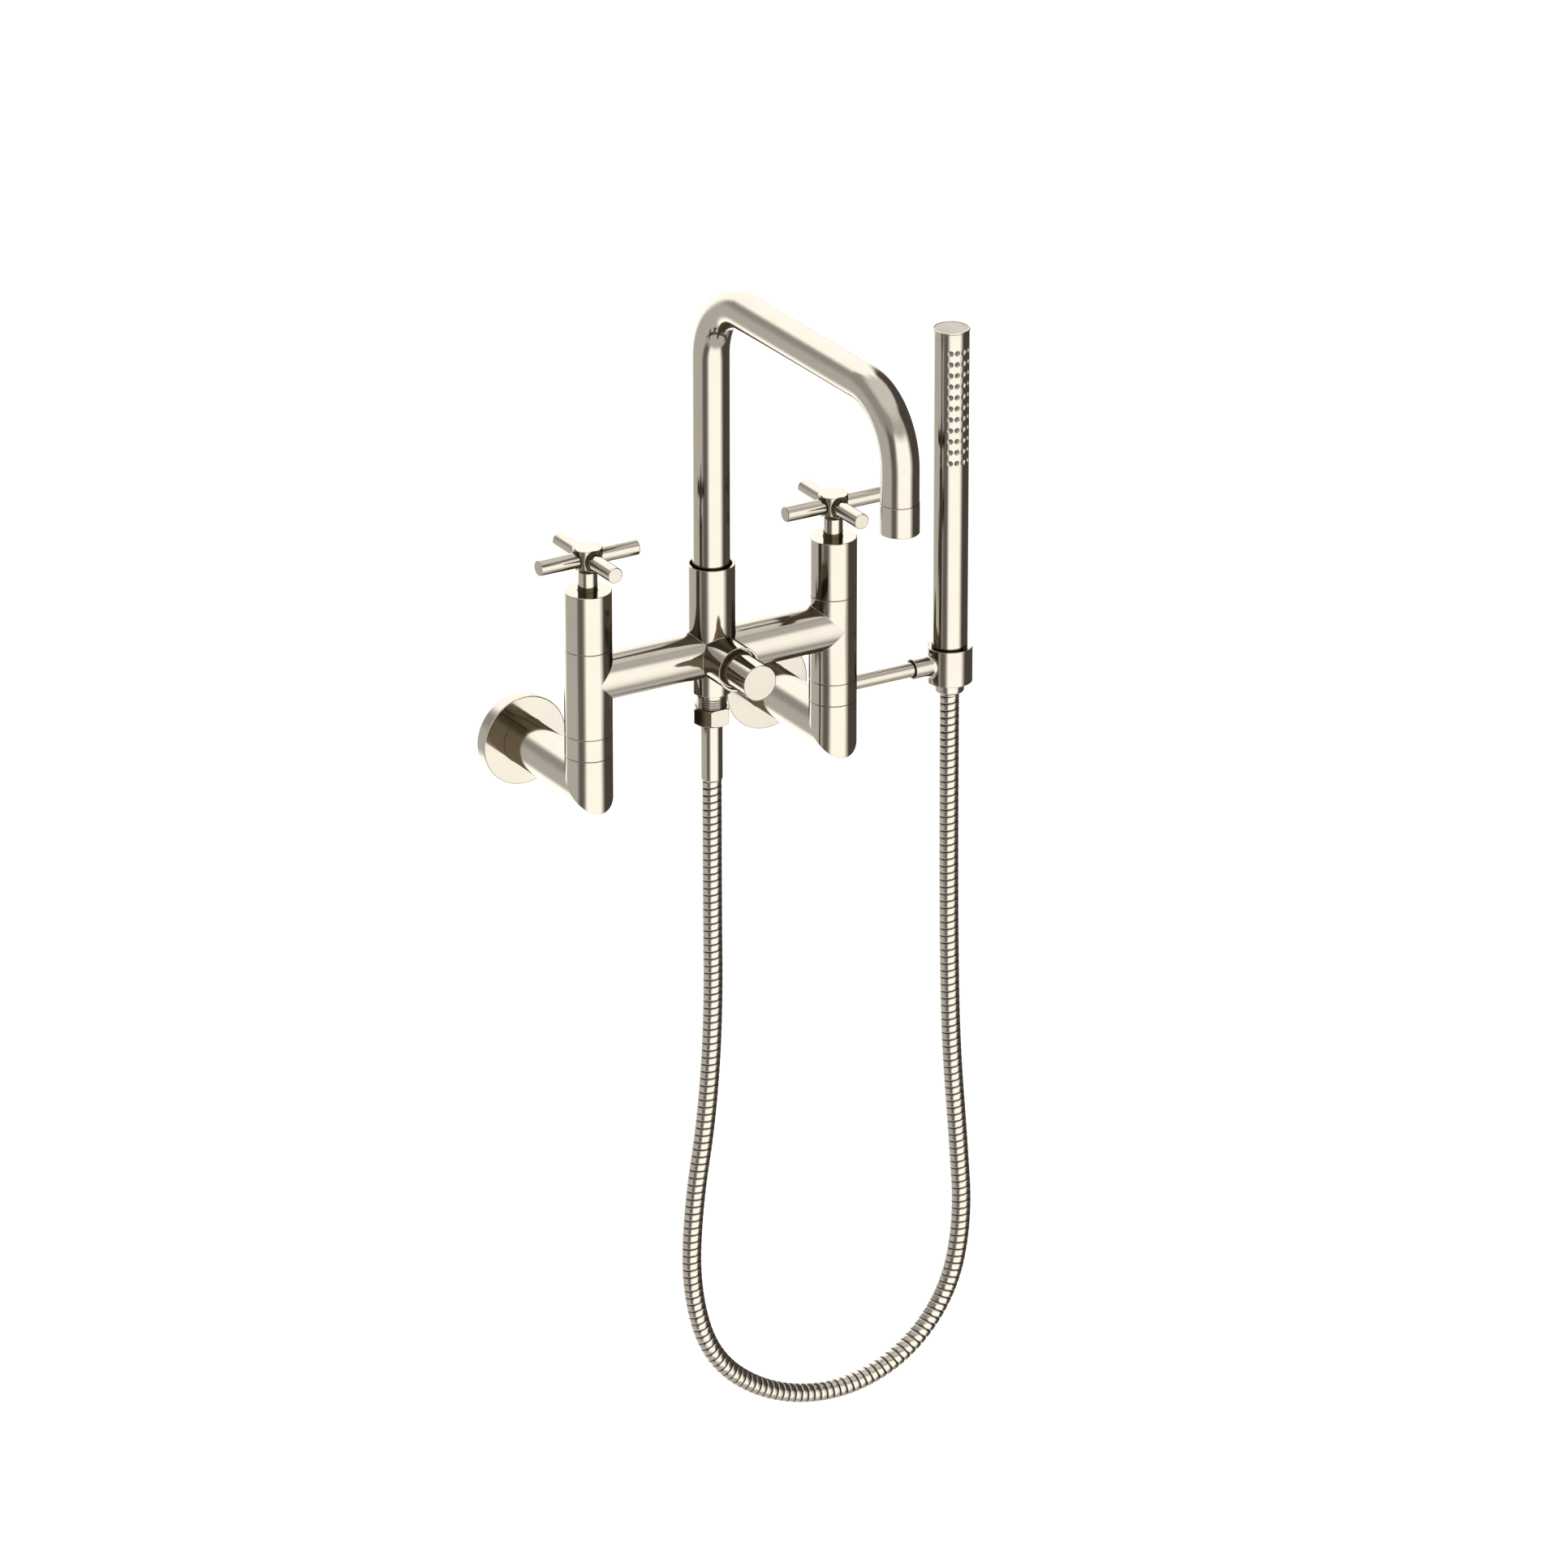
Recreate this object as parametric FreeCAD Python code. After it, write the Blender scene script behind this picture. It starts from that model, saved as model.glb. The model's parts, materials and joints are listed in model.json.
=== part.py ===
import FreeCAD, Part
import math
import os

os.makedirs("parts", exist_ok=True)

# Exposed bath filler for a wall, with two cross handles, a swinging spout and a hand shower.
# Millimetres. +X runs along the wall to the right, +Y into the wall, +Z up.
# The origin lies on the wall plane, midway between the two supply inlets.

V = FreeCAD.Vector
ORIGIN = V(0, 0, 0)
RIGHT = V(1, 0, 0)
OUT = V(0, -1, 0)
BACK = V(0, 1, 0)
UP = V(0, 0, 1)
DOWN = V(0, 0, -1)
SHARP_CORNERS = 1             # corner mode of makePipeShell

# Driving dimensions of the body
supply_centres = 203.2        # between the two inlets, 8 inches
column_y = -103.5             # plane of the columns, the bridge and the hose
column_r = 17.4               # arms, columns, bridge and sleeve share one size
passage_r = 9.0
flange_r = 33.7
flange_depth = 10.5
inlet_r = 9.3                 # bore of a G 1/2 female thread
inlet_depth = 16.0
ring_bottom = 23.1
ring_top = 40.1
body_top = 105.2
cap_top = 149.4
bridge_z = 80.7
seam = 0.5                    # depth and width of the fine groove at a joint
rim_chamfer = 0.15            # broken edge beside a groove
play = 0.05                   # between fixed pieces that slide together

# Cartridge and handle
spindle_r = 5.0
spindle_bore_r = 5.06
chamber_r = 9.0
seat_z = 60.0
stem_r = 7.1
hub_r = 10.85
hub_top = 182.4
arm_z = 174.1
arm_r = 5.85
arm_reach = 40.3

# Spout
spout_r = 13.7
spout_wall = 1.5
spout_z = 356.75
spout_reach = 259.7
bend_r = 48.0
spigot_r = 12.0
aerator_r = 13.95
aerator_top = 284.5
outlet_z = 261.9

# Diverter
stub_r = 16.8
stub_reach = 39.5
knob_r = 13.4
knob_reach = 69.0
knob_rear = 29.5
diverter_rod_r = 4.0

# Hand shower
wand_x = 200.4
wand_r = 13.2
lip_r = 13.7                  # thin lip round the top of the wand
lip_height = 1.5
wand_top = 290.6
wand_bottom = 20.8
nozzle_rows = 11
nozzle_pitch = 8.46
nozzle_top_z = 275.0
nozzle_angles = (-33.0, -11.0, 11.0, 33.0)

# Cradle
cradle_rod_r = 5.5
cradle_z = (ring_bottom + ring_top) / 2
holder_r = 16.9
holder_bore_r = 14.8
holder_bottom = 17.1
holder_top = 44.3
holder_floor_z = 20.6
holder_hole_r = 11.25         # the collar of the hose passes through here
holder_gap = (-30.0, 120.0)   # open side of the cup, degrees from +X, at the outside
holder_slant = 18.0           # how much further the gap reaches at the bore
socket_face_x = 168.6
socket_r = 7.4
socket_fillet_r = 3.0
screw_x = 179.0               # set screw that locks the cup on its rod

# Hose
hose_r = 7.3
hose_bore_r = 6.1
nut_bottom = 26.2
nut_height = 13.2
washer_bottom = nut_bottom + 3.0
nipple_bottom = washer_bottom + 2.0
ferrule_end_z = -18.5
collar_end_z = 6.2
hose_route = (                # x and z of the route's corners in the plane of the columns
    (0.0, ferrule_end_z), (0.0, -110.0), (0.8, -205.0), (-5.0, -285.0), (-16.5, -352.0),
    (-19.5, -420.0), (-2.0, -482.0), (46.0, -522.0), (106.0, -536.0), (162.0, -521.0),
    (202.0, -478.0), (215.0, -420.0), (210.0, -350.0), (203.5, -275.0), (201.2, -190.0),
    (wand_x, -90.0), (wand_x, collar_end_z),
)

sides = {"left": -supply_centres / 2, "right": supply_centres / 2}


def rod(radius, start, axis, length):
    return Part.makeCylinder(radius, length, start, axis)


def turned(outline, start, axis):
    """A turned piece: outline holds (radius, height) corners, height runs along axis from start."""
    points = [V(r, 0, h) for r, h in outline]
    face = Part.Face(Part.makePolygon(points + points[:1]))
    solid = face.revolve(ORIGIN, UP, 360)
    solid.Placement = FreeCAD.Placement(start, FreeCAD.Rotation(UP, axis))
    return solid


def ring(outer, inner, start, axis, length):
    return turned([(inner, 0), (outer, 0), (outer, length), (inner, length)], start, axis)


def o_ring(middle_r, section_r, centre, axis):
    return Part.makeTorus(middle_r, section_r, centre, axis)


def hexagon(across_flats, start, height):
    corner = across_flats / math.sqrt(3)
    angles = [math.radians(60 * i) for i in range(7)]
    points = [start + V(corner * math.cos(a), corner * math.sin(a), 0) for a in angles]
    return Part.Face(Part.makePolygon(points)).extrude(UP * height)


def soften_rims(solid, heights, radius):
    """Chamfer the round rims of the columns at the given heights."""
    edges = []
    for rim in solid.Edges:
        box = rim.BoundBox
        flat = box.ZLength < 0.01
        if flat and abs(box.YLength - 2 * radius) < 0.01:
            if any(abs(box.ZMin - h) < 0.01 for h in heights):
                edges.append(rim)
    return solid.makeChamfer(rim_chamfer, edges)


def save(name, shape):
    shape.exportStep("parts/" + name + ".step")


def save_group(name, shapes):
    save(name, Part.makeCompound(shapes))


# Wall side

def wall_flange(x):
    hollow_r = flange_r - 2.5
    collar_r = column_r + 2.6
    bore_r = column_r + play
    plate = flange_depth - 2.5
    outline = [
        (hollow_r, 0), (flange_r, 0), (flange_r, flange_depth - 0.5),
        (flange_r - 0.5, flange_depth), (bore_r, flange_depth), (bore_r, 2.0),
        (collar_r, 2.0), (collar_r, plate), (hollow_r, plate),
    ]
    return turned(outline, V(x, 0, 0), OUT)


def mitred_pipe(x, radius, start_y, top):
    """Round bar from start_y out to the column's axis and up to top, mitred at the corner."""
    start = V(x, start_y, 0)
    corner = V(x, column_y, 0)
    path = Part.makePolygon([start, corner, V(x, column_y, top)])
    circle = Part.Wire([Part.makeCircle(radius, start, OUT)])
    return path.makePipeShell([circle], True, False, SHARP_CORNERS)


def supply_elbow(x):
    elbow = soften_rims(mitred_pipe(x, column_r, 0, ring_bottom), [ring_bottom], column_r)
    spigot = rod(12.45, V(x, column_y, ring_bottom - 1), UP, 9.0)
    passage = mitred_pipe(x, passage_r, 1 - inlet_depth, ring_bottom + 10)
    inlet = rod(inlet_r, V(x, 1, 0), OUT, inlet_depth + 1)
    return elbow.fuse(spigot).cut(passage).cut(inlet).removeSplitter()


def union_ring(x):
    bore_r = 12.5
    height = ring_top - ring_bottom
    groove_r = column_r - seam
    outline = [
        (bore_r, 0), (groove_r, 0), (groove_r, seam), (column_r, seam),
        (column_r, height - seam), (groove_r, height - seam), (groove_r, height),
        (bore_r, height),
    ]
    return turned(outline, V(x, column_y, ring_bottom), UP)


def union_ring_with_socket(x):
    socket = rod(3.0, V(x + 12.6, column_y, cradle_z), RIGHT, 10)
    return union_ring(x).cut(socket)


def union_seals():
    return [ring(12.4, passage_r, V(x, column_y, ring_bottom + 8.1), UP, 2.2)
            for x in sides.values()]


# Bridge body

def valve_body():
    centre = V(0, column_y, bridge_z)
    half = supply_centres / 2
    body = rod(column_r, centre - RIGHT * half, RIGHT, supply_centres)
    for x in sides.values():
        body = body.fuse(rod(column_r, V(x, column_y, ring_top), UP, body_top - ring_top))
        body = body.fuse(rod(12.45, V(x, column_y, ring_top - 6.6), UP, 8))
    body = body.fuse(rod(column_r, centre, UP, cap_top - bridge_z))
    body = body.fuse(rod(stub_r, centre, OUT, stub_reach))
    body = body.fuse(rod(14.3, centre, DOWN, 29.9)).removeSplitter()
    body = soften_rims(body, [ring_top, body_top], column_r)
    return body.cut(valve_body_bores(centre, half)).removeSplitter()


def valve_body_bores(centre, half):
    bores = rod(8.0, centre - RIGHT * (half - 8), RIGHT, supply_centres - 16)
    for x in sides.values():
        bores = bores.fuse(rod(passage_r, V(x, column_y, ring_top - 10), UP, 25))
        bores = bores.fuse(rod(11.1, V(x, column_y, seat_z), UP, 30))
        bores = bores.fuse(rod(13.0, V(x, column_y, 84.0), UP, 30))
    bores = bores.fuse(rod(passage_r, centre, UP, 30))
    bores = bores.fuse(rod(12.06, V(0, column_y, 98.0), UP, 45))
    bores = bores.fuse(rod(15.4, V(0, column_y, 138.5), UP, 20))
    bores = bores.fuse(rod(10.0, centre + BACK * 8, OUT, 40))
    bores = bores.fuse(rod(15.2, centre + OUT * 24, OUT, 30))
    bores = bores.fuse(rod(7.0, centre, DOWN, 30))
    bores = bores.fuse(rod(9.55, V(0, column_y, 50.0), UP, 12))
    lock_hole = rod(2.45, V(0, column_y + 9, 128.0), BACK, 10)
    return bores.fuse(lock_hole)


# Valves

def column_cap(x):
    height = cap_top - body_top
    wall_r = column_r - 2.4
    hole_r = stem_r + 0.3
    outline = [
        (wall_r, 0), (column_r - seam, 0), (column_r - seam, seam), (column_r, seam),
        (column_r, height - 0.4),
        (column_r - 0.4, height), (hole_r, height), (hole_r, height - 3),
        (wall_r, height - 3),
    ]
    return turned(outline, V(x, column_y, body_top), UP)


def cartridge_body(x):
    outline = [
        (chamber_r, 62.5), (10.9, 62.5), (10.9, 84), (12.9, 84), (12.9, body_top),
        (14.5, body_top), (14.5, 109), (spindle_bore_r, 109), (spindle_bore_r, 79),
        (chamber_r, 79),
    ]
    shape = turned(outline, V(x, column_y, 0), UP)
    nut = hexagon(22.0, V(x, column_y, 109), 9)
    neck = rod(8.0, V(x, column_y, 118), UP, 9)
    top = nut.fuse(neck).cut(rod(spindle_bore_r, V(x, column_y, 100), UP, 40))
    port = rod(3.0, V(x - 20, column_y, 75.5), RIGHT, 40)
    return shape.fuse(top).removeSplitter().cut(port)


def ceramic_disc(x, radius, bottom, height):
    disc = rod(radius, V(x, column_y, bottom), UP, height)
    for offset in (-4.6, 4.6):
        disc = disc.cut(rod(2.4, V(x, column_y + offset, bottom - 1), UP, height + 2))
    return disc


def seat_seals():
    return [ring(10.8, 6.8, V(x, column_y, seat_z), UP, 2.5) for x in sides.values()]


def spindle(x):
    neck_r = spindle_r - 1.1
    outline = [
        (0, 71), (8.6, 71), (8.6, 75), (spindle_r, 75), (spindle_r, 110), (neck_r, 110),
        (neck_r, 111.4), (spindle_r, 111.4), (spindle_r, 128), (neck_r, 128), (neck_r, 129.2),
        (spindle_r, 129.2), (spindle_r, 130.5), (4.0, 130.5), (4.0, 172), (0, 172),
    ]
    return turned(outline, V(x, column_y, 0), UP)


def spindle_o_ring(x):
    return o_ring(4.45, 0.53, V(x, column_y, 110.7), UP)


def spindle_clip(x):
    clip = ring(6.6, spindle_r - 1.05, V(x, column_y, 128.1), UP, 1.0)
    gap = Part.makeBox(5, 8, 3, V(x - 2.5, column_y + 2, 127))
    return clip.cut(gap)


def handle_hub(x):
    outline = [
        (4.05, 131), (stem_r, 131), (stem_r, 164.1), (hub_r, 168.4), (hub_r, hub_top - 0.4),
        (hub_r - 0.4, hub_top), (0, hub_top), (0, 172.1), (4.05, 172.1),
    ]
    hub = turned(outline, V(x, column_y, 0), UP)
    centre = V(x, column_y, arm_z)
    for quarter in range(4):
        axis = FreeCAD.Rotation(UP, 90 * quarter).multVec(RIGHT)
        scoop = Part.makeCone(6.1, 11.3, 5.2, centre + axis * 7.6, axis)
        hub = hub.cut(scoop.fuse(rod(3.0, centre + axis * 5.2, axis, 4)))
    return hub.cut(rod(2.0, V(x, column_y + 3, 157.0), BACK, 8))


def handle_arms(x):
    outline = [
        (0, 5.3), (2.95, 5.3), (2.95, 7.6), (arm_r, 7.6), (arm_r, arm_reach - 0.5),
        (arm_r - 0.5, arm_reach), (0, arm_reach),
    ]
    arms = []
    for quarter in range(4):
        axis = FreeCAD.Rotation(UP, 90 * quarter).multVec(RIGHT)
        arms.append(turned(outline, V(x, column_y, arm_z), axis))
    return arms


def handle_screw(x):
    screw = rod(1.95, V(x, column_y + 4.1, 157.0), BACK, 2.8)
    key = rod(1.0, V(x, column_y + 5.6, 157.0), BACK, 3)
    return screw.cut(key)


# Spout

def spout_path(start_z, end_z):
    """Centre line of the spout: up, over towards the bather and down."""
    far_y = column_y - spout_reach
    flat = math.sqrt(0.5) * bend_r
    near = V(0, column_y - bend_r, spout_z - bend_r)
    far = V(0, far_y + bend_r, spout_z - bend_r)
    rise_top = near + BACK * bend_r
    level_start = near + UP * bend_r
    level_end = far + UP * bend_r
    drop_top = far + OUT * bend_r
    edges = [
        Part.LineSegment(V(0, column_y, start_z), rise_top).toShape(),
        Part.Arc(rise_top, near + V(0, flat, flat), level_start).toShape(),
        Part.LineSegment(level_start, level_end).toShape(),
        Part.Arc(level_end, far + V(0, -flat, flat), drop_top).toShape(),
        Part.LineSegment(drop_top, V(0, far_y, end_z)).toShape(),
    ]
    return Part.Wire(edges)


def swept(radius, path, start, axis):
    circle = Part.Wire([Part.makeCircle(radius, start, axis)])
    return path.makePipeShell([circle], True, False)


def spout_tube():
    bottom = 140.1
    outer = swept(spout_r, spout_path(bottom, aerator_top), V(0, column_y, bottom), UP)
    inner_r = spout_r - spout_wall
    inner = swept(inner_r, spout_path(bottom - 1, aerator_top - 1), V(0, column_y, bottom - 1), UP)
    tube = outer.cut(inner)
    end = V(0, column_y - spout_reach, 274.0)
    return tube.fuse(ring(inner_r, 10.4, end, UP, 24)).removeSplitter()


def spout_spigot():
    groove = spigot_r - 1.6
    outline = [(8.5, 100), (spigot_r, 100)]
    for bottom in (106.0, 114.0):
        outline += [
            (spigot_r, bottom), (groove, bottom), (groove, bottom + 2.6), (spigot_r, bottom + 2.6),
        ]
    outline += [
        (spigot_r, 125.2), (10.0, 125.2), (10.0, 130.8), (spigot_r, 130.8), (spigot_r, 156),
        (8.5, 156),
    ]
    return turned(outline, V(0, column_y, 0), UP)


def spout_o_rings():
    return [o_ring(11.21, 0.8, V(0, column_y, z), UP) for z in (107.3, 115.3)]


def spout_bearing():
    return ring(15.3, spigot_r + 0.3, V(0, column_y, 138.5), UP, 1.5)


def spout_lock_screw():
    screw = rod(2.4, V(0, column_y + 10.4, 128.0), BACK, 6.6)
    key = rod(1.3, V(0, column_y + 14.4, 128.0), BACK, 4)
    return screw.cut(key)


def aerator_housing():
    inner_r = spout_r - spout_wall + play
    height = aerator_top - outlet_z
    outline = [
        (inner_r, 0), (aerator_r - 0.4, 0), (aerator_r, 0.4), (aerator_r, height - seam),
        (aerator_r - seam, height - seam), (aerator_r - seam, height), (inner_r, height),
    ]
    return turned(outline, V(0, column_y - spout_reach, outlet_z), UP)


def aerator_insert():
    base = V(0, column_y - spout_reach, outlet_z + 0.8)
    insert = rod(12.1, base, UP, 9.2)
    insert = insert.cut(rod(10.2, base + UP * 3.6, UP, 10))
    spacing = 3.9
    for column in range(-2, 3):
        for row in range(-2, 3):
            if abs(column + row) > 2:
                continue
            hole = base + V(spacing * (column + row / 2), spacing * row * math.sqrt(0.75), -1)
            insert = insert.cut(rod(1.55, hole, UP, 8))
    return insert


def aerator_washer():
    return ring(12.1, 9.6, V(0, column_y - spout_reach, outlet_z + 10), UP, 2.1)


# Diverter

def diverter_gland():
    hole_r = diverter_rod_r + play
    outline = [
        (hole_r, -4), (9.9, -4), (9.9, 0), (15.15, 0), (15.15, 12.6), (14.75, 13), (13.8, 13),
        (13.8, 3), (hole_r, 3),
    ]
    return turned(outline, V(0, column_y - 24, bridge_z), OUT)


def diverter_knob():
    bore_r = diverter_rod_r + play
    depth = 52.0
    outline = [
        (bore_r, knob_rear), (knob_r - 0.5, knob_rear), (knob_r, knob_rear + 0.5),
        (knob_r, knob_reach - 0.5), (knob_r - 0.5, knob_reach), (0, knob_reach), (0, depth),
        (bore_r, depth),
    ]
    return turned(outline, V(0, column_y, bridge_z), OUT)


def diverter_rod():
    groove = diverter_rod_r - 0.8
    outline = [
        (0, -4), (2.4, -4), (2.4, 2), (diverter_rod_r, 2), (diverter_rod_r, 24.6),
        (groove, 24.6), (groove, 25.6), (diverter_rod_r, 25.6), (diverter_rod_r, 51.9), (0, 51.9),
    ]
    return turned(outline, V(0, column_y, bridge_z), OUT)


def diverter_o_ring():
    return o_ring(3.62, 0.4, V(0, column_y - 25.1, bridge_z), OUT)


def diverter_plunger():
    outline = [
        (2.45, -3.5), (8.2, -3.5), (8.2, -2.5), (9.0, -2.5), (9.0, 0.5), (8.2, 0.5), (8.2, 1.9),
        (2.45, 1.9),
    ]
    return turned(outline, V(0, column_y, bridge_z), OUT)


def diverter_seals():
    centre = V(0, column_y, bridge_z)
    return [ring(9.5, 8.25, centre + OUT * 0.5, OUT, 1.3),
            ring(9.5, 8.25, centre + BACK * 3.5, OUT, 0.95)]


# Hand shower outlet

def outlet_nipple():
    pitch = 1.8
    crest = 11.1
    root = 10.4
    neck_r = 9.5
    plain_bottom = 47.2
    body_bottom = 50.8
    first = nipple_bottom + 1.2
    outline = [(7.0, nipple_bottom), (root, nipple_bottom)]
    for turn in range(8):
        low = first + pitch * turn
        outline += [(root, low), (crest, low + 0.5), (crest, low + 1.0), (root, low + 1.5)]
    outline += [
        (root, plain_bottom), (crest, plain_bottom), (crest, body_bottom), (neck_r, body_bottom),
        (neck_r, 61.9), (7.0, 61.9),
    ]
    return turned(outline, V(0, column_y, 0), UP)


def check_valve():
    outline = [
        (3.2, 40), (6.9, 40), (6.9, 56), (5.0, 56), (5.0, 59), (1.4, 59), (1.4, 55), (4.2, 55),
        (4.2, 46), (3.2, 46),
    ]
    return turned(outline, V(0, column_y, 0), UP)


def hose_nut():
    flats = 25.0
    thread_r = 11.4
    collar_r = 8.15
    floor = 1.5
    corner = flats / math.sqrt(3) + 0.1
    start = V(0, column_y, nut_bottom)
    cone = turned([(0, 0), (flats / 2 - 0.6, 0), (corner, 1.9), (corner, nut_height - 0.9),
                   (corner - 1.1, nut_height), (0, nut_height)], start, UP)
    bore = turned([(0, -1), (collar_r, -1), (collar_r, floor), (thread_r, floor),
                   (thread_r, nut_height + 1), (0, nut_height + 1)], start, UP)
    return hexagon(flats, start, nut_height).common(cone).cut(bore)


def hose_washer(x, bottom, outer):
    return ring(outer, 5.6, V(x, column_y, bottom), UP, 2.0)


def hose_ferrule():
    outline = [
        (5.0, ferrule_end_z), (hose_r, ferrule_end_z), (8.05, ferrule_end_z + 1.6),
        (8.05, nut_bottom + 1.6), (10.5, nut_bottom + 1.6), (10.5, washer_bottom),
        (5.0, washer_bottom),
    ]
    return turned(outline, V(0, column_y, 0), UP)


def route_points():
    return [V(x, column_y, z) for x, z in hose_route]


def hose():
    """Plain hollow tube along the route: straight runs joined by tangent arcs."""
    points = route_points()
    edges = []
    length = 0.0
    here = points[0]
    for before, corner, after in zip(points, points[1:], points[2:]):
        towards = (corner - before).normalize()
        away = (after - corner).normalize()
        turn = towards.getAngle(away)
        setback = 0.45 * min(corner.distanceToPoint(before), after.distanceToPoint(corner))
        radius = setback / math.tan(turn / 2)
        inward = (away - towards).normalize()
        enter = corner - towards * setback
        leave = corner + away * setback
        middle = corner + inward * (radius / math.cos(turn / 2) - radius)
        edges.append(Part.LineSegment(here, enter).toShape())
        edges.append(Part.Arc(enter, middle, leave).toShape())
        length += here.distanceToPoint(enter) + radius * turn
        here = leave
        print("hose bend at x %.0f z %.0f: radius %.0f mm" % (corner.x, corner.z, radius))
    edges.append(Part.LineSegment(here, points[-1]).toShape())
    length += here.distanceToPoint(points[-1])
    path = Part.Wire(edges)
    tube = swept(hose_r, path, points[0], DOWN).cut(swept(hose_bore_r, path, points[0], DOWN))
    expected = math.pi * (hose_r ** 2 - hose_bore_r ** 2) * length
    print("hose length %.1f mm, volume %.4f of section times length" % (length, tube.Volume / expected))
    return tube


# Hand shower

def cone_nut():
    """Collar with a rounded lower rim that joins the hose to the wand."""
    neck_r = 7.4
    collar_r = 10.9
    collar_bottom = 8.2
    outline = [
        (5.0, collar_end_z), (neck_r, collar_end_z), (neck_r, collar_bottom),
        (collar_r, collar_bottom), (collar_r, 20.6), (8.4, 20.6), (8.4, 11.0), (5.0, 11.0),
    ]
    nut = turned(outline, V(wand_x, column_y, 0), UP)
    rims = [rim for rim in nut.Edges
            if abs(rim.BoundBox.XLength - 2 * collar_r) < 0.01
            and abs(rim.BoundBox.ZMin - collar_bottom) < 0.01]
    return nut.makeFillet(2.2, rims)


def wand_tail():
    outline = [
        (5.0, 13.2), (8.35, 13.2), (8.35, 20.8), (11.45, 20.8), (11.45, 38), (9.0, 38),
        (9.0, 44), (5.0, 44),
    ]
    return turned(outline, V(wand_x, column_y, 0), UP)


def nozzle_places():
    for row in range(nozzle_rows):
        z = nozzle_top_z - nozzle_pitch * row
        for angle in nozzle_angles:
            yield V(wand_x, column_y, z), FreeCAD.Rotation(UP, angle).multVec(OUT)


def wand_shell():
    height = wand_top - wand_bottom
    outline = [
        (11.5, 0), (wand_r - 0.3, 0), (wand_r, 0.3), (wand_r, height - lip_height),
        (lip_r, height - lip_height + 0.4), (lip_r, height - 0.2), (lip_r - 0.2, height),
        (12.4, height), (12.4, height - 4), (11.5, height - 4),
    ]
    shell = turned(outline, V(wand_x, column_y, wand_bottom), UP)
    for centre, axis in nozzle_places():
        hole = turned([(0, 11), (1.15, 11), (1.15, 12.4), (1.75, 12.7), (2.25, 13.4),
                       (2.25, 15), (0, 15)], centre, axis)
        shell = shell.cut(hole)
    return shell


def wand_cap():
    return rod(12.35, V(wand_x, column_y, wand_top - 4), UP, 3.8)


def wand_liner():
    base = V(wand_x, column_y, 0)
    outline = [
        (9.05, 38.2), (10.6, 38.2), (10.6, 284.0), (0, 284.0), (0, 282.0), (9.05, 282.0),
    ]
    return turned(outline, base, UP)


def wand_nozzles():
    return [turned([(0.35, 10.8), (1.12, 10.8), (1.12, 12.5), (0.9, 12.7), (0.35, 12.7)],
                   centre, axis) for centre, axis in nozzle_places()]


# Cradle

def cradle_rod():
    x = sides["right"]
    end_x = 182.0
    bar = rod(cradle_rod_r, V(x + 14, column_y, cradle_z), RIGHT, end_x - x - 14)
    bar = bar.cut(rod(column_r, V(x, column_y, 0), UP, 60))
    peg = rod(2.95, V(x + 12.7, column_y, cradle_z), RIGHT, 10)
    return bar.fuse(peg).removeSplitter()


def round_point(centre, radius, degrees):
    angle = math.radians(degrees)
    return V(centre.x + radius * math.cos(angle), centre.y + radius * math.sin(angle), 0)


def wedge(centre, start, end):
    """Upright wedge that opens the cup and leaves its two ends pointed."""
    reach = 40.0
    steps = 6
    inner = [round_point(centre, holder_bore_r, start - holder_slant),
             round_point(centre, holder_bore_r, end + holder_slant)]
    outer = [round_point(centre, holder_r, start), round_point(centre, holder_r, end)]
    beyond = [o + (o - i) * 2 for i, o in zip(inner, outer)]
    far = [round_point(centre, reach, start + (end - start) * i / steps)
           for i in range(1, steps)]
    corners = [V(centre.x, centre.y, 0), inner[0], beyond[0]] + far + [beyond[1], inner[1]]
    return Part.Face(Part.makePolygon(corners + corners[:1])).extrude(UP * 80)


def wand_holder():
    centre = V(wand_x, column_y, 0)
    outside = rod(holder_r, V(wand_x, column_y, holder_bottom), UP, holder_top - holder_bottom)
    socket_start = V(socket_face_x, column_y, cradle_z)
    socket = rod(socket_r, socket_start, RIGHT, wand_x - socket_face_x - 8)
    holder = outside.fuse(socket).removeSplitter()
    root = [seam_edge for seam_edge in holder.Edges
            if seam_edge.BoundBox.XMin > socket_face_x + 10
            and abs(seam_edge.BoundBox.ZLength - 2 * socket_r) < 0.1]
    holder = holder.makeFillet(socket_fillet_r, root)
    holder = holder.cut(rod(holder_bore_r, V(wand_x, column_y, holder_floor_z), UP, 30))
    holder = holder.cut(rod(holder_hole_r, V(wand_x, column_y, 10), UP, 20))
    holder = holder.cut(wedge(centre, *holder_gap))
    holder = holder.cut(rod(6.3, socket_start, RIGHT, 7.4))
    holder = holder.cut(rod(cradle_rod_r + play, socket_start, RIGHT, 13.5))
    return holder.cut(rod(2.0, V(screw_x, column_y, cradle_z - 9), UP, 5))


def holder_screw():
    return rod(1.95, V(screw_x, column_y, cradle_z - 7.2), UP, 1.7)


def save_valve(side, x):
    save("wall_flange_" + side, wall_flange(x))
    save("supply_elbow_" + side, supply_elbow(x))
    save("column_cap_" + side, column_cap(x))
    save("cartridge_body_" + side, cartridge_body(x))
    save("fixed_disc_" + side, ceramic_disc(x, 8.9, 62.5, 4.5))
    save("moving_disc_" + side, ceramic_disc(x, 8.6, 67.05, 3.95))
    save("spindle_" + side, spindle(x))
    save("spindle_o_ring_" + side, spindle_o_ring(x))
    save("spindle_clip_" + side, spindle_clip(x))
    save("handle_hub_" + side, handle_hub(x))
    save_group("handle_arms_" + side, handle_arms(x))
    save("handle_screw_" + side, handle_screw(x))


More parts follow.
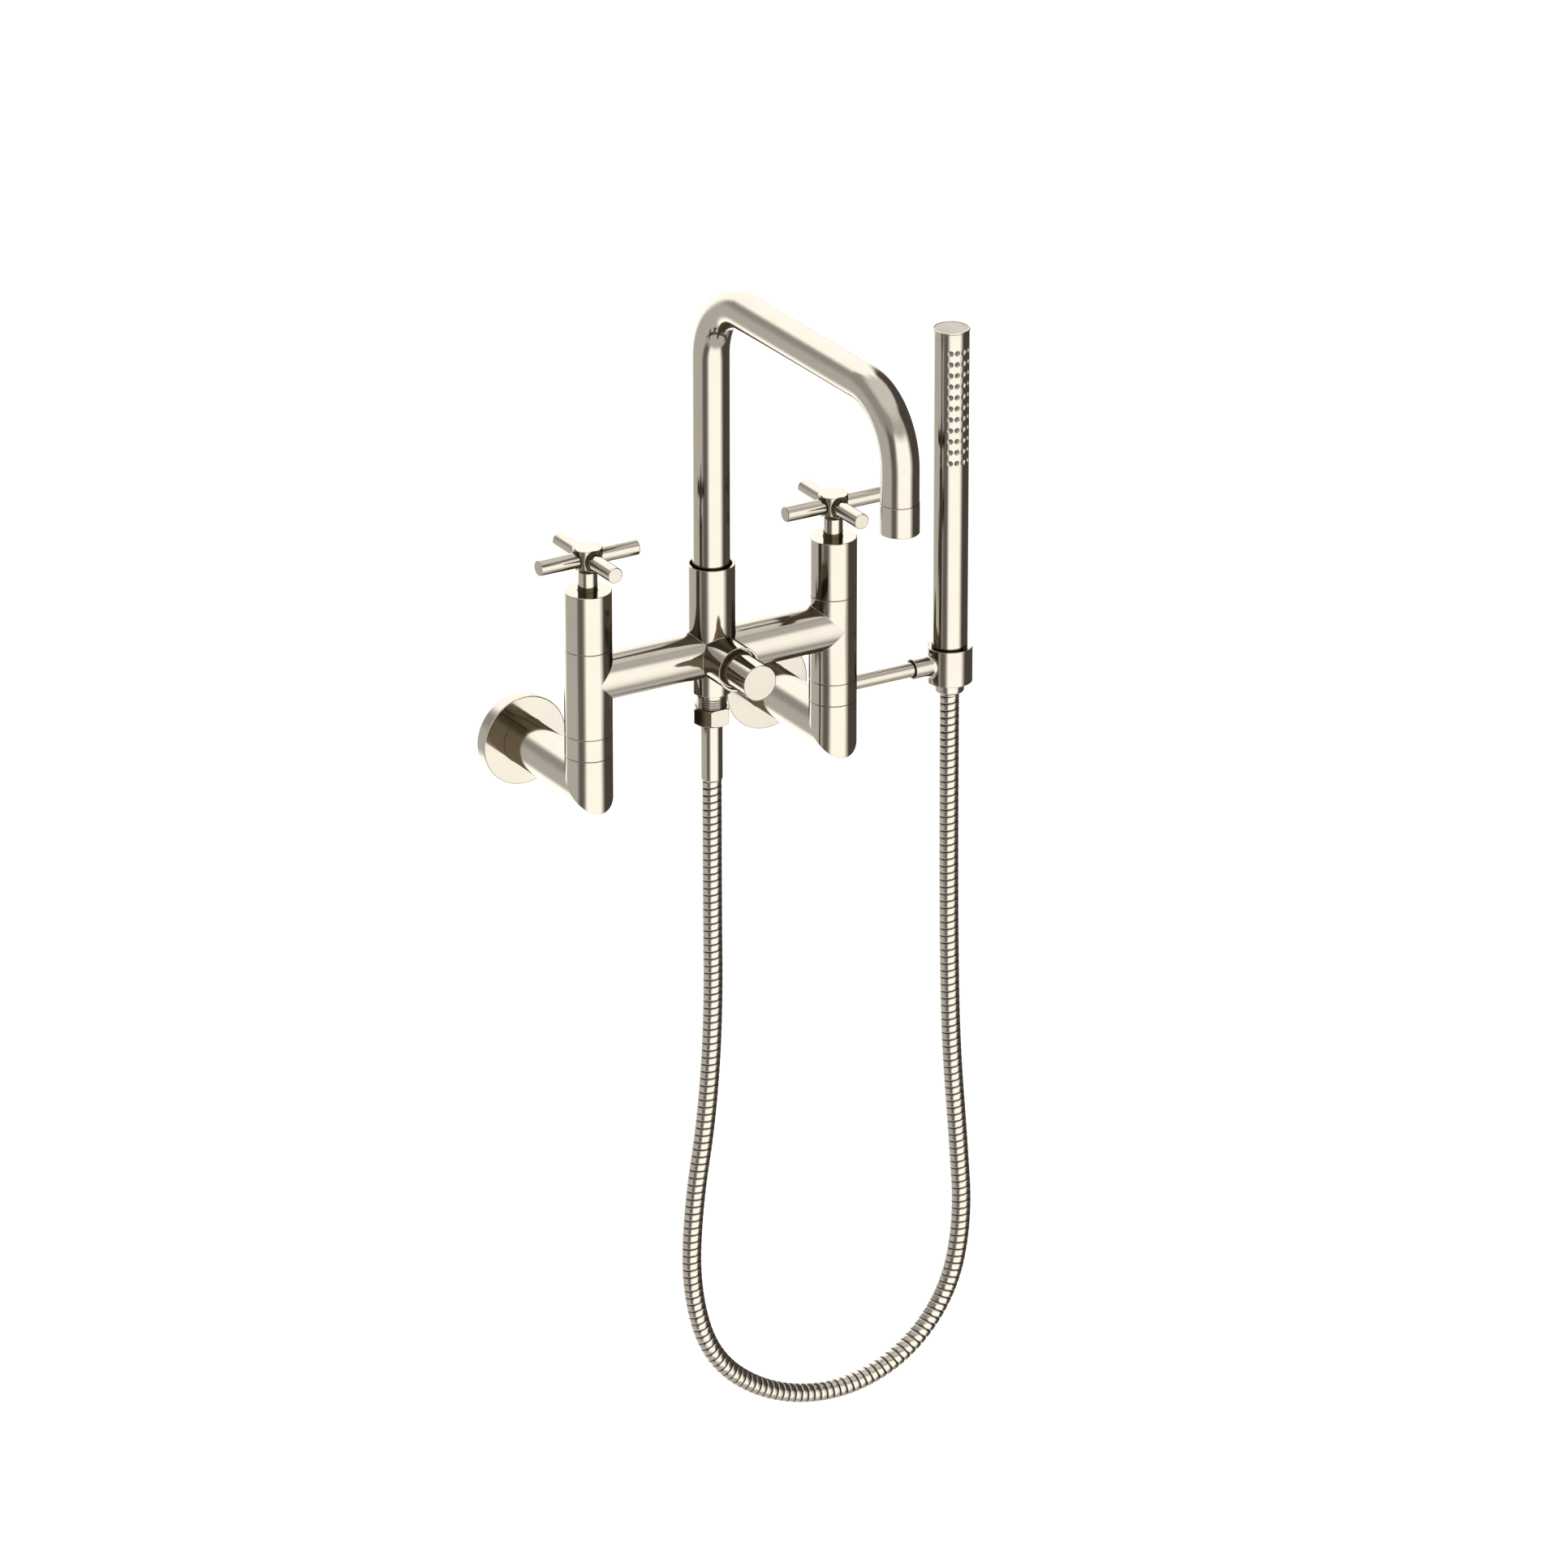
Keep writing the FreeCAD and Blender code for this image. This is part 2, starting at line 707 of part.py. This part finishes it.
for side, x in sides.items():
    save_valve(side, x)
save("union_ring_left", union_ring(sides["left"]))
save("union_ring_right", union_ring_with_socket(sides["right"]))
save_group("union_seals", union_seals())
save_group("seat_seals", seat_seals())
save("valve_body", valve_body())

save("spout_tube", spout_tube())
save("spout_spigot", spout_spigot())
save_group("spout_o_rings", spout_o_rings())
save("spout_bearing", spout_bearing())
save("spout_lock_screw", spout_lock_screw())
save("aerator_housing", aerator_housing())
save("aerator_insert", aerator_insert())
save("aerator_washer", aerator_washer())

save("diverter_gland", diverter_gland())
save("diverter_knob", diverter_knob())
save("diverter_rod", diverter_rod())
save("diverter_o_ring", diverter_o_ring())
save("diverter_plunger", diverter_plunger())
save_group("diverter_seals", diverter_seals())

save("outlet_nipple", outlet_nipple())
save("check_valve", check_valve())
save("hose_nut", hose_nut())
save("hose_washer_lower", hose_washer(0, washer_bottom, 10.6))
save("hose_ferrule", hose_ferrule())
save("hose", hose())

save("cone_nut", cone_nut())
save("hose_washer_upper", hose_washer(wand_x, 11.1, 8.3))
save("wand_tail", wand_tail())
save("wand_shell", wand_shell())
save("wand_cap", wand_cap())
save("wand_liner", wand_liner())
save_group("wand_nozzles", wand_nozzles())

save("cradle_rod", cradle_rod())
save("wand_holder", wand_holder())
save("holder_screw", holder_screw())
print(len(os.listdir("parts")), "parts")
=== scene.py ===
import json
import math
import bmesh
import bpy
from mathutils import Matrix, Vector


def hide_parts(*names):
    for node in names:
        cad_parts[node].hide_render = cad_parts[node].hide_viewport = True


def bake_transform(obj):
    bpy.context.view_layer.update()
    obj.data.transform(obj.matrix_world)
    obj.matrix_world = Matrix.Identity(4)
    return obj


# Wall mounted bath faucet: polished nickel, two cross handles, a swinging spout
# and a hand shower on a metal hose. Metres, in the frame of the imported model.

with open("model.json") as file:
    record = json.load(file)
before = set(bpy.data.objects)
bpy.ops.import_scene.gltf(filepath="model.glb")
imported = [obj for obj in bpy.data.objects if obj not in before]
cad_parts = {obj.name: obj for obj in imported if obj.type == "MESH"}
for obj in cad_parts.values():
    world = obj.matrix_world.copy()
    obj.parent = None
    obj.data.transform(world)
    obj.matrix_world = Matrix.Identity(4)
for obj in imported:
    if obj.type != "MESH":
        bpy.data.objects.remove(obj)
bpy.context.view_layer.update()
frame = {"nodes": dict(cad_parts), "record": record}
record = frame["record"]
print("packed model loaded:", len(frame["nodes"]), "nodes")

camera = {
    "place": (-3.78544, -6.59702, 3.16667),
    "towards": (0.46913, 0.79206, -0.39059),
    "lens": 260.05,      # millimetres, as the sensor
    "sensor": 36.0,
    "near": 0.5,
    "far": 200.0,
}

studio = {
    "floorZ": -1.6,
    "floorSize": 40.0,
    "floorColour": (0.9, 0.9, 0.9, 1.0),
    "floorRoughness": 0.9,
    "floorGlow": 0.6,
    "strength": 1.3,
    "room": 0.38,                     # brightness of the pale room where no panel stands
    "shade": (0.020, 0.014, 0.009),   # light where the brightness is 0
    "white": (1.0, 0.985, 0.96),      # light where the brightness is 1
    "innerShare": 0.15,               # light left in a reflection seen in another reflection
    "innerTint": (1.0, 0.86, 0.68),   # colour of that light
    "firstDepth": 1.5,                # glossy depth that parts a first reflection from the next
    "turn": math.radians(-30),        # panels are placed from the viewer's side of the object
    "allRound": 180,                  # half width of a panel that has no sides
}

# Soft panels round the object, in degrees: middle to the right of the viewer's side, half
# width, lowest and highest edge, softness of the edges, and brightness. Later ones lie on top.
panels = {
    "ceiling": {"middle": 0, "half": 180, "low": 50, "high": 95, "soft": 12, "brightness": 0.55},
    "upperWall": {"middle": -70, "half": 60, "low": 8, "high": 45, "soft": 10, "brightness": 0.24},
    "whiteWall": {"middle": -160, "half": 30, "low": -60, "high": 60, "soft": 8, "brightness": 1.0},
    "keySoftbox": {"middle": 26, "half": 38, "low": -50, "high": 25, "soft": 8, "brightness": 1.0},
    "leftFlag": {"middle": -35, "half": 15, "low": -50, "high": 20, "soft": 8, "brightness": 0.09},
    "rightFlag": {"middle": 122, "half": 46, "low": -50, "high": 50, "soft": 6, "brightness": 0.04},
}

nickel = {
    "colour": (0.80, 0.748, 0.655),
    "colourWorn": (0.76, 0.705, 0.61),
    "roughness": (0.085, 0.12),
    "edge": 0.0007,                # rounding of the edges
}


def makeCamera():
    data = bpy.data.cameras.new("camera")
    data.lens = camera["lens"]
    data.sensor_width = camera["sensor"]
    data.clip_start = camera["near"]
    data.clip_end = camera["far"]
    item = bpy.data.objects.new("camera", data)
    bpy.context.scene.collection.objects.link(item)
    item.location = camera["place"]
    item.rotation_mode = "QUATERNION"
    item.rotation_quaternion = Vector(camera["towards"]).to_track_quat("-Z", "Y")
    bpy.context.scene.camera = item


def mixOf(nodes, links, share, first, second):
    # Colour mix of two sockets or two plain colours.
    mix = nodes.new("ShaderNodeMix")
    mix.data_type = "RGBA"
    factor = mix.inputs[0]
    colours = [socket for socket in mix.inputs if socket.type == "RGBA"]
    links.new(share, factor)
    for socket, value in zip(colours, (first, second)):
        if isinstance(value, tuple):
            socket.default_value = (*value, 1.0)
        else:
            links.new(value, socket)
    return [socket for socket in mix.outputs if socket.type == "RGBA"][0]


def mathOf(nodes, links, operation, *values):
    node = nodes.new("ShaderNodeMath")
    node.operation = operation
    for socket, value in zip(node.inputs, values):
        if isinstance(value, (int, float)):
            socket.default_value = value
        else:
            links.new(value, socket)
    return node.outputs[0]


def softEdge(nodes, links, value, start, end):
    # 0 at start and 1 at end, with a smooth change between them.
    span = nodes.new("ShaderNodeMapRange")
    span.interpolation_type = "SMOOTHSTEP"
    span.inputs["From Min"].default_value = start
    span.inputs["From Max"].default_value = end
    links.new(value, span.inputs["Value"])
    return span.outputs[0]


def panelShare(nodes, links, direction, panel):
    # How much of a panel is seen in a direction.
    turned = nodes.new("ShaderNodeVectorRotate")
    turned.rotation_type = "Z_AXIS"
    turned.inputs["Angle"].default_value = -studio["turn"] - math.radians(panel["middle"])
    links.new(direction, turned.inputs["Vector"])
    parts = nodes.new("ShaderNodeSeparateXYZ")
    links.new(turned.outputs[0], parts.inputs[0])
    x, y, z = parts.outputs
    side = mathOf(nodes, links, "ARCTAN2", x, mathOf(nodes, links, "MULTIPLY", y, -1.0))
    away = mathOf(nodes, links, "DEGREES", mathOf(nodes, links, "ABSOLUTE", side))
    height = mathOf(nodes, links, "DEGREES", mathOf(nodes, links, "ARCSINE", z))
    soft = panel["soft"]
    across = softEdge(nodes, links, away, panel["half"] + soft, panel["half"] - soft)
    bottom = softEdge(nodes, links, height, panel["low"] - soft, panel["low"] + soft)
    top = softEdge(nodes, links, height, panel["high"] + soft, panel["high"] - soft)
    upright = mathOf(nodes, links, "MULTIPLY", bottom, top)
    if panel["half"] >= studio["allRound"]:
        return upright
    return mathOf(nodes, links, "MULTIPLY", across, upright)


def makeSurroundings():
    world = bpy.data.worlds.new("studio")
    bpy.context.scene.world = world
    world.use_nodes = True
    world.cycles.sampling_method = "NONE"
    nodes, links = world.node_tree.nodes, world.node_tree.links
    nodes.clear()

    direction = nodes.new("ShaderNodeTexCoord").outputs["Generated"]
    brightness = studio["room"]
    for panel in panels.values():
        share = panelShare(nodes, links, direction, panel)
        step = mathOf(nodes, links, "SUBTRACT", panel["brightness"], brightness)
        brightness = mathOf(nodes, links, "MULTIPLY_ADD", step, share, brightness)
    light = mixOf(nodes, links, brightness, studio["shade"], studio["white"])

    rays = nodes.new("ShaderNodeLightPath")
    first = mathOf(nodes, links, "LESS_THAN", rays.outputs["Glossy Depth"], studio["firstDepth"])
    warm = nodes.new("ShaderNodeVectorMath")
    warm.operation = "MULTIPLY"
    warm.inputs[1].default_value = studio["innerTint"]
    links.new(light, warm.inputs[0])
    around = nodes.new("ShaderNodeBackground")
    links.new(mixOf(nodes, links, first, warm.outputs[0], light), around.inputs["Color"])
    inner = studio["strength"] * studio["innerShare"]
    strength = mathOf(nodes, links, "MULTIPLY_ADD", first, studio["strength"] - inner, inner)
    links.new(strength, around.inputs["Strength"])

    plain = nodes.new("ShaderNodeBackground")
    plain.inputs["Color"].default_value = (1.0, 1.0, 1.0, 1.0)
    mix = nodes.new("ShaderNodeMixShader")
    links.new(rays.outputs["Is Camera Ray"], mix.inputs[0])
    links.new(around.outputs[0], mix.inputs[1])
    links.new(plain.outputs[0], mix.inputs[2])
    out = nodes.new("ShaderNodeOutputWorld")
    links.new(mix.outputs[0], out.inputs[0])


def makeFloor():
    bpy.ops.mesh.primitive_plane_add(size=studio["floorSize"], location=(0, 0, studio["floorZ"]))
    floor = bpy.context.object
    floor.name = "floor"
    paper = bpy.data.materials.new("paleFloor")
    paper.use_nodes = True
    shader = paper.node_tree.nodes["Principled BSDF"]
    shader.inputs["Base Color"].default_value = studio["floorColour"]
    shader.inputs["Roughness"].default_value = studio["floorRoughness"]
    shader.inputs["Specular IOR Level"].default_value = 0.0
    shader.inputs["Emission Color"].default_value = (1.0, 1.0, 1.0, 1.0)
    shader.inputs["Emission Strength"].default_value = studio["floorGlow"]
    floor.data.materials.append(paper)
    floor.visible_glossy = False


bpy.ops.object.select_all(action="DESELECT")
bpy.context.scene.view_settings.view_transform = "Standard"
makeCamera()
makeSurroundings()
makeFloor()
print("camera and studio ready")

surface = {
    "cloudDetail": 3.0,
    "grainDetail": 2.0,
    "cloudSpan": (0.35, 0.65),     # where most of the noise lies
    "bumpDistance": 0.00002,
    "edgeSamples": 6,
}


def newMaterial(name):
    material = bpy.data.materials.new(name)
    material.use_nodes = True
    nodes, links = material.node_tree.nodes, material.node_tree.links
    place = nodes.new("ShaderNodeTexCoord").outputs["Object"]
    return material, nodes, links, nodes["Principled BSDF"], place


def noise(nodes, links, place, scale, detail, stretch=(1, 1, 1)):
    texture = nodes.new("ShaderNodeTexNoise")
    texture.inputs["Scale"].default_value = scale
    texture.inputs["Detail"].default_value = detail
    mapping = nodes.new("ShaderNodeMapping")
    mapping.inputs["Scale"].default_value = stretch
    links.new(place, mapping.inputs["Vector"])
    links.new(mapping.outputs[0], texture.inputs["Vector"])
    return texture.outputs["Fac"]


def mapTo(nodes, links, value, low, high, lowIn, highIn):
    span = nodes.new("ShaderNodeMapRange")
    span.inputs["From Min"].default_value = lowIn
    span.inputs["From Max"].default_value = highIn
    span.inputs["To Min"].default_value = low
    span.inputs["To Max"].default_value = high
    links.new(value, span.inputs["Value"])
    return span.outputs[0]


def addBump(nodes, links, shader, height, strength, edge=0.0):
    bump = nodes.new("ShaderNodeBump")
    bump.inputs["Strength"].default_value = strength
    bump.inputs["Distance"].default_value = surface["bumpDistance"]
    links.new(height, bump.inputs["Height"])
    if edge:
        rounding = nodes.new("ShaderNodeBevel")
        rounding.samples = surface["edgeSamples"]
        rounding.inputs["Radius"].default_value = edge
        links.new(rounding.outputs[0], bump.inputs["Normal"])
    links.new(bump.outputs[0], shader.inputs["Normal"])


def speckled(name, look):
    # A material with two close tones, uneven gloss and a fine grain.
    material, nodes, links, shader, place = newMaterial(name)
    shader.inputs["Metallic"].default_value = look["metallic"]
    cloud = noise(nodes, links, place, look["cloudScale"], surface["cloudDetail"])
    grain = noise(nodes, links, place, look["grainScale"], surface["grainDetail"],
                  look.get("stretch", (1, 1, 1)))
    tone = mixOf(nodes, links, cloud, look["colour"], look["colourWorn"])
    links.new(tone, shader.inputs["Base Color"])
    gloss = mapTo(nodes, links, cloud, *look["roughness"], *surface["cloudSpan"])
    links.new(gloss, shader.inputs["Roughness"])
    addBump(nodes, links, shader, grain, look["grain"], look.get("edge", 0.0))
    return material


looks = {
    "polished_nickel": {**nickel, "metallic": 1.0, "cloudScale": 45.0, "grainScale": 900.0,
                        "grain": 0.03},
    "turned_brass": {"colour": (0.72, 0.52, 0.24), "colourWorn": (0.60, 0.42, 0.18),
                     "metallic": 1.0, "roughness": (0.22, 0.34), "cloudScale": 120.0,
                     "grainScale": 700.0, "stretch": (1, 1, 8), "grain": 0.25},
    "stainless": {"colour": (0.62, 0.61, 0.59), "colourWorn": (0.52, 0.51, 0.49),
                  "metallic": 1.0, "roughness": (0.25, 0.38), "cloudScale": 300.0,
                  "grainScale": 2500.0, "grain": 0.2},
    "ceramic": {"colour": (0.88, 0.87, 0.83), "colourWorn": (0.82, 0.81, 0.77),
                "metallic": 0.0, "roughness": (0.18, 0.28), "cloudScale": 200.0,
                "grainScale": 1500.0, "grain": 0.05},
    "seal_rubber": {"colour": (0.018, 0.018, 0.018), "colourWorn": (0.032, 0.031, 0.030),
                    "metallic": 0.0, "roughness": (0.55, 0.7), "cloudScale": 400.0,
                    "grainScale": 3000.0, "grain": 0.3},
    "nozzle_silicone": {"colour": (0.26, 0.25, 0.235), "colourWorn": (0.20, 0.19, 0.18),
                        "metallic": 0.0, "roughness": (0.42, 0.55), "cloudScale": 500.0,
                        "grainScale": 3500.0, "grain": 0.2},
    "white_plastic": {"colour": (0.80, 0.80, 0.78), "colourWorn": (0.72, 0.72, 0.70),
                      "metallic": 0.0, "roughness": (0.35, 0.45), "cloudScale": 250.0,
                      "grainScale": 2000.0, "grain": 0.15},
}

# a rougher copy of polished nickel with a darker colour; the darker colour is painted shade on the
# wand cap
looks["satin_nickel_painted_shade"] = {**looks["polished_nickel"], "colour": (0.56, 0.52, 0.455),
                         "colourWorn": (0.52, 0.48, 0.42), "roughness": (0.30, 0.38),
                         "grain": 0.10}
paintedShadeFinish = {"wand_cap": "satin_nickel_painted_shade"}      # pieces whose finish isn't their slot's own: the wand cap gets a rougher nickel whose darker colour is painted shade

materials = {name: speckled(name, look) for name, look in looks.items()}
for part in record["subparts"]:
    mesh = frame["nodes"][part["node"]].data
    mesh.materials.clear()
    mesh.materials.append(materials[paintedShadeFinish.get(part["node"], part["material_slot"])])
print("finishes on the packed pieces")

hose = {
    "plane": -0.1035,         # y of the whole hose
    "route": [                # x and z of its corners, from the ferrule to the cone nut
        (0.0, -0.0185), (0.0, -0.110), (0.0008, -0.205), (-0.005, -0.285), (-0.0165, -0.352),
        (-0.0195, -0.420), (-0.002, -0.482), (0.046, -0.522), (0.106, -0.536), (0.162, -0.521),
        (0.202, -0.478), (0.215, -0.420), (0.210, -0.350), (0.2035, -0.275), (0.2012, -0.190),
        (0.2004, -0.090), (0.2004, 0.0062),
    ],
    "diameter": 0.0146,
    "length": 1.187,
    "tuck": 0.004,            # how far each end reaches into its fitting
    "pitch": 0.0056,          # one turn of the wound strip
    "crest": 0.0073,
    "groove": 0.0061,
    "profile": [(0.0, 0.0), (0.05, 0.75), (0.12, 0.92), (0.5, 1.0), (0.88, 0.92),
                (0.95, 0.75), (1.0, 0.0)],      # share of a turn and height of the band
    "ringsPerTurn": 8,
    "around": 32,
    "curveSteps": 24,
    "curveOrder": 3,
    "merge": 1e-6,            # points closer than this become one
    # painted shade: near-black colour laid in the groove between the strip's turns
    "grooveShadeColour": (0.045, 0.035, 0.025),
    "grooveShadeHeights": (0.45, 0.9),             # painted shade: dark up to the first band height, nickel from the second
    "roughness": (0.45, 0.14),              # in the groove and on the crest
    "roughnessHeights": (0.05, 0.6),        # band heights between which it changes
    "grainScale": 1200.0,
    "grain": 0.05,
}


def routeLine():
    # Points along the hose's centre line, read from one smooth curve.
    data = bpy.data.curves.new("hoseRoute", "CURVE")
    data.dimensions = "3D"
    data.resolution_u = hose["curveSteps"]
    spline = data.splines.new("NURBS")
    spline.points.add(len(hose["route"]) - 1)
    for point, (x, z) in zip(spline.points, hose["route"]):
        point.co = (x, hose["plane"], z, 1.0)
    spline.order_u = hose["curveOrder"]
    spline.use_endpoint_u = True
    item = bpy.data.objects.new("hoseRoute", data)
    bpy.context.scene.collection.objects.link(item)
    bpy.context.view_layer.update()
    mesh = bpy.data.meshes.new_from_object(item)
    line = [v.co.copy() for v in mesh.vertices]
    bpy.data.meshes.remove(mesh)
    bpy.data.objects.remove(item)
    return line


def stripProfile(turn):
    # Radius of the wound strip: a crowned band with a groove at each side.
    t = turn % 1.0
    for (t0, h0), (t1, h1) in zip(hose["profile"], hose["profile"][1:]):
        if t <= t1:
            return hose["groove"] + (hose["crest"] - hose["groove"]) * (
                h0 + (h1 - h0) * (t - t0) / (t1 - t0))
    return hose["groove"]


def makeHose():
    line = routeLine()
    path = [tuple(p) for p in line]
    line = [line[0] + Vector((0, 0, hose["tuck"]))] + line + [line[-1] + Vector((0, 0, hose["tuck"]))]
    gaps = [(b - a).length for a, b in zip(line, line[1:])]
    total = sum(gaps)
    step = hose["pitch"] / hose["ringsPerTurn"]
    count = int(total / step)

    marks = [0.0]
    for gap in gaps:
        marks.append(marks[-1] + gap)
    across = Vector((0, 1, 0))

    def spot(s):
        # Place and direction at a distance along the line.
        s = min(max(s, 0.0), total)
        low = max(i for i, m in enumerate(marks[:-1]) if m <= s)
        share = (s - marks[low]) / gaps[low]
        before = (line[low] - line[max(low - 1, 0)]) if low else line[1] - line[0]
        here = line[low + 1] - line[low]
        after = line[min(low + 2, len(line) - 1)] - line[low + 1]
        after = after if after.length else here
        start = before.normalized() + here.normalized()
        end = here.normalized() + after.normalized()
        along = start.normalized().lerp(end.normalized(), share).normalized()
        return line[low].lerp(line[low + 1], share), along

    around, rings = hose["around"], hose["ringsPerTurn"]
    spots = {}
    vertices, heights = [], []
    rows = range(-rings, count + rings + 1)
    for k in rows:
        for j in range(around):
            s = (k + rings * j / around) * step
            s = round(min(max(s, 0.0), total), 7)
            if s not in spots:
                spots[s] = spot(s)
            centre, along = spots[s]
            radius = stripProfile(s / hose["pitch"] - j / around)
            angle = -2 * math.pi * j / around
            sideways = across.cross(along).normalized()
            vertices.append(centre + (across * math.cos(angle) + sideways * math.sin(angle)) * radius)
            heights.append((radius - hose["groove"]) / (hose["crest"] - hose["groove"]))
    faces = []
    for row in range(len(rows) - 1):
        for j in range(around):
            a = row * around + j
            b = a + 1 if j < around - 1 else (row + rings) * around
            c = b + around
            if c < len(vertices):
                faces.append((a, b, c, a + around))
    mesh = bpy.data.meshes.new("metal_hose")
    mesh.from_pydata([tuple(v) for v in vertices], [], faces)
    worn = mesh.attributes.new("crest", "FLOAT", "POINT")
    worn.data.foreach_set("value", heights)

    shape = bmesh.new()
    shape.from_mesh(mesh)
    bmesh.ops.remove_doubles(shape, verts=shape.verts[:], dist=hose["merge"])
    bmesh.ops.dissolve_degenerate(shape, edges=shape.edges[:], dist=hose["merge"])
    loose = [v for v in shape.verts if not v.link_faces]
    bmesh.ops.delete(shape, geom=loose, context="VERTS")
    bmesh.ops.holes_fill(shape, edges=[e for e in shape.edges if e.is_boundary], sides=0)
    bmesh.ops.recalc_face_normals(shape, faces=shape.faces[:])
    shape.to_mesh(mesh)
    shape.free()
    piece = bpy.data.objects.new("metal_hose", mesh)
    bpy.context.scene.collection.objects.link(piece)
    for face in mesh.polygons:
        face.use_smooth = True
    return piece, path


def hoseMaterial():
    # Nickel, dull in the groove between the turns of the strip, with painted shade making that groove
    # dark.
    material, nodes, links, shader, place = newMaterial("nickel_hose")
    shader.inputs["Metallic"].default_value = 1.0
    crest = nodes.new("ShaderNodeAttribute")
    crest.attribute_name = "crest"
    height = crest.outputs["Fac"]
    # painted shade in the groove: the colour goes dark where the band is low
    share = mapTo(nodes, links, height, 0.0, 1.0, *hose["grooveShadeHeights"])
    links.new(mixOf(nodes, links, share, hose["grooveShadeColour"], nickel["colour"]),
              shader.inputs["Base Color"])
    links.new(mapTo(nodes, links, height, *hose["roughness"], *hose["roughnessHeights"]),
              shader.inputs["Roughness"])
    grain = noise(nodes, links, place, hose["grainScale"], surface["grainDetail"])
    addBump(nodes, links, shader, grain, hose["grain"])
    return material


hosePiece, hosePath = makeHose()
hosePiece.data.materials.append(hoseMaterial())
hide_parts("hose")
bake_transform(hosePiece)
print("hose wound:", len(hosePiece.data.polygons), "faces")
